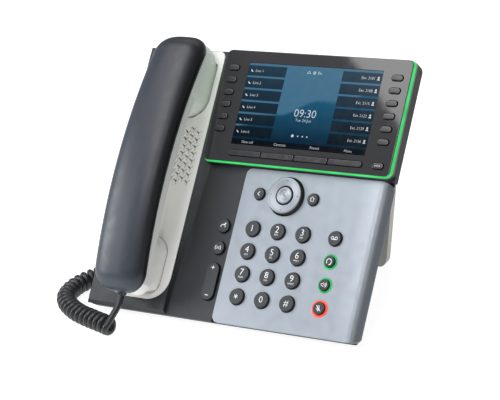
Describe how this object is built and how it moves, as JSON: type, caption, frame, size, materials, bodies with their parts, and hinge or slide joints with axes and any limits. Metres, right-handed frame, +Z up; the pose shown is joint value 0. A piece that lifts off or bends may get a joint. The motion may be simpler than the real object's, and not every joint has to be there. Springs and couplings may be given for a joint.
{
  "type": "desk ip phone",
  "caption": "Desk telephone: leaning keypad and colour screen with side keys, corded handset in a cradle on the left, curly cord and a clip-on easel stand.",
  "frame": {"origin": "on the desk, under the middle of the phone's box without its cord", "axes": "+Z up; the user is on the -Y side and the screen faces -Y and up; +X is the user's right"},
  "size_m": [0.2628, 0.2044, 0.1759],
  "materials": {
    "dark_plastic": "fine texture",
    "silver_panel": "silver paint, satin",
    "light_plastic": "fine texture",
    "bezel_gloss": "semi-gloss",
    "green_light_guide": "lit",
    "screen": "polished",
    "circuit_board": "solder mask",
    "speaker_black": "satin",
    "screw_steel": "zinc plated",
    "rubber_feet": "matte",
    "cord_black": "satin",
    "handset_dark": "satin",
    "nav_silver": "satin",
    "key_dark": "satin"
  },
  "bodies": {
    "housing": {"front_housing": "dark_plastic", "keypad_panel": "silver_panel", "rear_housing": "dark_plastic", "cradle_panel": "light_plastic", "display_bezel": "bezel_gloss", "light_bar": "green_light_guide", "display_module": "screen", "main_board": "circuit_board", "loudspeaker": "speaker_black", "housing_screws": "screw_steel", "base_feet": "rubber_feet", "cord_coil": "cord_black", "cord_lead": "cord_black", "cord_tail": "cord_black"},
    "handset": {"handset_shell": "handset_dark", "handset_inner": "light_plastic", "handset_capsules": "speaker_black"},
    "stand": {"stand": "light_plastic"},
    "hook_switch": {"hook_switch": "light_plastic"},
    "nav_pivot": {"nav_pivot": "speaker_black"},
    "nav_ring": {"nav_ring": "nav_silver"},
    "select_key": {"select_key": "nav_silver"},
    "volume_rocker": {"volume_rocker": "key_dark"},
    "key_1": {"key_1": "key_dark"},
    "call_key": {"call_key": "key_dark"},
    "mute_key": {"mute_key": "key_dark"},
    "line_key_left_1": {"line_key_left_1": "key_dark"},
    "soft_key_1": {"soft_key_1": "key_dark"},
    "back_key": {"back_key": "key_dark"},
    "key_2": {"key_2": "key_dark"},
    "key_3": {"key_3": "key_dark"},
    "key_4": {"key_4": "key_dark"},
    "key_5": {"key_5": "key_dark"},
    "key_6": {"key_6": "key_dark"},
    "key_7": {"key_7": "key_dark"},
    "key_8": {"key_8": "key_dark"},
    "key_9": {"key_9": "key_dark"},
    "key_star": {"key_star": "key_dark"},
    "key_0": {"key_0": "key_dark"},
    "key_hash": {"key_hash": "key_dark"},
    "voicemail_key": {"voicemail_key": "key_dark"},
    "headset_key": {"headset_key": "key_dark"},
    "speaker_key": {"speaker_key": "key_dark"},
    "home_key": {"home_key": "key_dark"},
    "hold_key": {"hold_key": "key_dark"},
    "line_key_left_2": {"line_key_left_2": "key_dark"},
    "line_key_left_3": {"line_key_left_3": "key_dark"},
    "line_key_left_4": {"line_key_left_4": "key_dark"},
    "line_key_left_5": {"line_key_left_5": "key_dark"},
    "line_key_left_6": {"line_key_left_6": "key_dark"},
    "line_key_right_1": {"line_key_right_1": "key_dark"},
    "line_key_right_2": {"line_key_right_2": "key_dark"},
    "line_key_right_3": {"line_key_right_3": "key_dark"},
    "line_key_right_4": {"line_key_right_4": "key_dark"},
    "line_key_right_5": {"line_key_right_5": "key_dark"},
    "line_key_right_6": {"line_key_right_6": "key_dark"},
    "soft_key_2": {"soft_key_2": "key_dark"},
    "soft_key_3": {"soft_key_3": "key_dark"},
    "soft_key_4": {"soft_key_4": "key_dark"},
    "more_key": {"more_key": "key_dark"}
  },
  "joints": [
    {"name": "handset_lift", "type": "slide", "parent": "housing", "child": "handset", "axis": [0, -0.7431, 0.6691], "range_m": [0, 0.06]},
    {"name": "stand_clip", "type": "slide", "parent": "housing", "child": "stand", "axis": [0, -0.6691, -0.7431], "range_m": [0, 0.012]},
    {"name": "hook_switch_rise", "type": "slide", "parent": "housing", "child": "hook_switch", "axis": [0, -0.7431, 0.6691], "range_m": [0, 0.0036]},
    {"name": "nav_tilt_up_down", "type": "hinge", "parent": "housing", "child": "nav_pivot", "pos_m": [0.0332, -0.00664, 0.07381], "axis": [1, 0, 0], "range_deg": [-2.5, 2.5], "stiffness_Nm_per_rad": 0.6},
    {"name": "nav_tilt_left_right", "type": "hinge", "parent": "nav_pivot", "child": "nav_ring", "pos_m": [0.0332, -0.00664, 0.07381], "axis": [0, 0.6691, 0.7431], "range_deg": [-2.5, 2.5], "stiffness_Nm_per_rad": 0.6},
    {"name": "volume_rock", "type": "hinge", "parent": "housing", "child": "volume_rocker", "pos_m": [-0.0123, -0.05462, 0.02591], "axis": [1, 0, 0], "range_deg": [-3, 3], "stiffness_Nm_per_rad": 0.6},
    {"name": "select_press", "type": "slide", "parent": "housing", "child": "select_key", "axis": [0, 0.7431, -0.6691], "range_m": [0, 0.0011], "stiffness_N_per_m": 600},
    {"name": "key_1_press", "type": "slide", "parent": "housing", "child": "key_1", "axis": [0, 0.7431, -0.6691], "range_m": [0, 0.0011], "stiffness_N_per_m": 600},
    {"name": "call_key_press", "type": "slide", "parent": "housing", "child": "call_key", "axis": [0, 0.7431, -0.6691], "range_m": [0, 0.0011], "stiffness_N_per_m": 600},
    {"name": "mute_key_press", "type": "slide", "parent": "housing", "child": "mute_key", "axis": [0, 0.7431, -0.6691], "range_m": [0, 0.0011], "stiffness_N_per_m": 600},
    {"name": "line_key_left_1_press", "type": "slide", "parent": "housing", "child": "line_key_left_1", "axis": [0, 0.7431, -0.6691], "range_m": [0, 0.0008], "stiffness_N_per_m": 600},
    {"name": "soft_key_1_press", "type": "slide", "parent": "housing", "child": "soft_key_1", "axis": [0, 0.7431, -0.6691], "range_m": [0, 0.0008], "stiffness_N_per_m": 600},
    {"name": "back_key_press", "type": "slide", "parent": "housing", "child": "back_key", "axis": [0, 0.7431, -0.6691], "range_m": [0, 0.0011], "stiffness_N_per_m": 600},
    {"name": "key_2_press", "type": "slide", "parent": "housing", "child": "key_2", "axis": [0, 0.7431, -0.6691], "range_m": [0, 0.0011], "stiffness_N_per_m": 600},
    {"name": "key_3_press", "type": "slide", "parent": "housing", "child": "key_3", "axis": [0, 0.7431, -0.6691], "range_m": [0, 0.0011], "stiffness_N_per_m": 600},
    {"name": "key_4_press", "type": "slide", "parent": "housing", "child": "key_4", "axis": [0, 0.7431, -0.6691], "range_m": [0, 0.0011], "stiffness_N_per_m": 600},
    {"name": "key_5_press", "type": "slide", "parent": "housing", "child": "key_5", "axis": [0, 0.7431, -0.6691], "range_m": [0, 0.0011], "stiffness_N_per_m": 600},
    {"name": "key_6_press", "type": "slide", "parent": "housing", "child": "key_6", "axis": [0, 0.7431, -0.6691], "range_m": [0, 0.0011], "stiffness_N_per_m": 600},
    {"name": "key_7_press", "type": "slide", "parent": "housing", "child": "key_7", "axis": [0, 0.7431, -0.6691], "range_m": [0, 0.0011], "stiffness_N_per_m": 600},
    {"name": "key_8_press", "type": "slide", "parent": "housing", "child": "key_8", "axis": [0, 0.7431, -0.6691], "range_m": [0, 0.0011], "stiffness_N_per_m": 600},
    {"name": "key_9_press", "type": "slide", "parent": "housing", "child": "key_9", "axis": [0, 0.7431, -0.6691], "range_m": [0, 0.0011], "stiffness_N_per_m": 600},
    {"name": "key_star_press", "type": "slide", "parent": "housing", "child": "key_star", "axis": [0, 0.7431, -0.6691], "range_m": [0, 0.0011], "stiffness_N_per_m": 600},
    {"name": "key_0_press", "type": "slide", "parent": "housing", "child": "key_0", "axis": [0, 0.7431, -0.6691], "range_m": [0, 0.0011], "stiffness_N_per_m": 600},
    {"name": "key_hash_press", "type": "slide", "parent": "housing", "child": "key_hash", "axis": [0, 0.7431, -0.6691], "range_m": [0, 0.0011], "stiffness_N_per_m": 600},
    {"name": "voicemail_key_press", "type": "slide", "parent": "housing", "child": "voicemail_key", "axis": [0, 0.7431, -0.6691], "range_m": [0, 0.0011], "stiffness_N_per_m": 600},
    {"name": "headset_key_press", "type": "slide", "parent": "housing", "child": "headset_key", "axis": [0, 0.7431, -0.6691], "range_m": [0, 0.0011], "stiffness_N_per_m": 600},
    {"name": "speaker_key_press", "type": "slide", "parent": "housing", "child": "speaker_key", "axis": [0, 0.7431, -0.6691], "range_m": [0, 0.0011], "stiffness_N_per_m": 600},
    {"name": "home_key_press", "type": "slide", "parent": "housing", "child": "home_key", "axis": [0, 0.7431, -0.6691], "range_m": [0, 0.0011], "stiffness_N_per_m": 600},
    {"name": "hold_key_press", "type": "slide", "parent": "housing", "child": "hold_key", "axis": [0, 0.7431, -0.6691], "range_m": [0, 0.0011], "stiffness_N_per_m": 600},
    {"name": "line_key_left_2_press", "type": "slide", "parent": "housing", "child": "line_key_left_2", "axis": [0, 0.7431, -0.6691], "range_m": [0, 0.0008], "stiffness_N_per_m": 600},
    {"name": "line_key_left_3_press", "type": "slide", "parent": "housing", "child": "line_key_left_3", "axis": [0, 0.7431, -0.6691], "range_m": [0, 0.0008], "stiffness_N_per_m": 600},
    {"name": "line_key_left_4_press", "type": "slide", "parent": "housing", "child": "line_key_left_4", "axis": [0, 0.7431, -0.6691], "range_m": [0, 0.0008], "stiffness_N_per_m": 600},
    {"name": "line_key_left_5_press", "type": "slide", "parent": "housing", "child": "line_key_left_5", "axis": [0, 0.7431, -0.6691], "range_m": [0, 0.0008], "stiffness_N_per_m": 600},
    {"name": "line_key_left_6_press", "type": "slide", "parent": "housing", "child": "line_key_left_6", "axis": [0, 0.7431, -0.6691], "range_m": [0, 0.0008], "stiffness_N_per_m": 600},
    {"name": "line_key_right_1_press", "type": "slide", "parent": "housing", "child": "line_key_right_1", "axis": [0, 0.7431, -0.6691], "range_m": [0, 0.0008], "stiffness_N_per_m": 600},
    {"name": "line_key_right_2_press", "type": "slide", "parent": "housing", "child": "line_key_right_2", "axis": [0, 0.7431, -0.6691], "range_m": [0, 0.0008], "stiffness_N_per_m": 600},
    {"name": "line_key_right_3_press", "type": "slide", "parent": "housing", "child": "line_key_right_3", "axis": [0, 0.7431, -0.6691], "range_m": [0, 0.0008], "stiffness_N_per_m": 600},
    {"name": "line_key_right_4_press", "type": "slide", "parent": "housing", "child": "line_key_right_4", "axis": [0, 0.7431, -0.6691], "range_m": [0, 0.0008], "stiffness_N_per_m": 600},
    {"name": "line_key_right_5_press", "type": "slide", "parent": "housing", "child": "line_key_right_5", "axis": [0, 0.7431, -0.6691], "range_m": [0, 0.0008], "stiffness_N_per_m": 600},
    {"name": "line_key_right_6_press", "type": "slide", "parent": "housing", "child": "line_key_right_6", "axis": [0, 0.7431, -0.6691], "range_m": [0, 0.0008], "stiffness_N_per_m": 600},
    {"name": "soft_key_2_press", "type": "slide", "parent": "housing", "child": "soft_key_2", "axis": [0, 0.7431, -0.6691], "range_m": [0, 0.0008], "stiffness_N_per_m": 600},
    {"name": "soft_key_3_press", "type": "slide", "parent": "housing", "child": "soft_key_3", "axis": [0, 0.7431, -0.6691], "range_m": [0, 0.0008], "stiffness_N_per_m": 600},
    {"name": "soft_key_4_press", "type": "slide", "parent": "housing", "child": "soft_key_4", "axis": [0, 0.7431, -0.6691], "range_m": [0, 0.0008], "stiffness_N_per_m": 600},
    {"name": "more_key_press", "type": "slide", "parent": "housing", "child": "more_key", "axis": [0, 0.7431, -0.6691], "range_m": [0, 0.0008], "stiffness_N_per_m": 600}
  ],
  "couplings": [
    {"joint": "hook_switch_rise", "follows": "handset_lift", "ratio": 0.058}
  ]
}
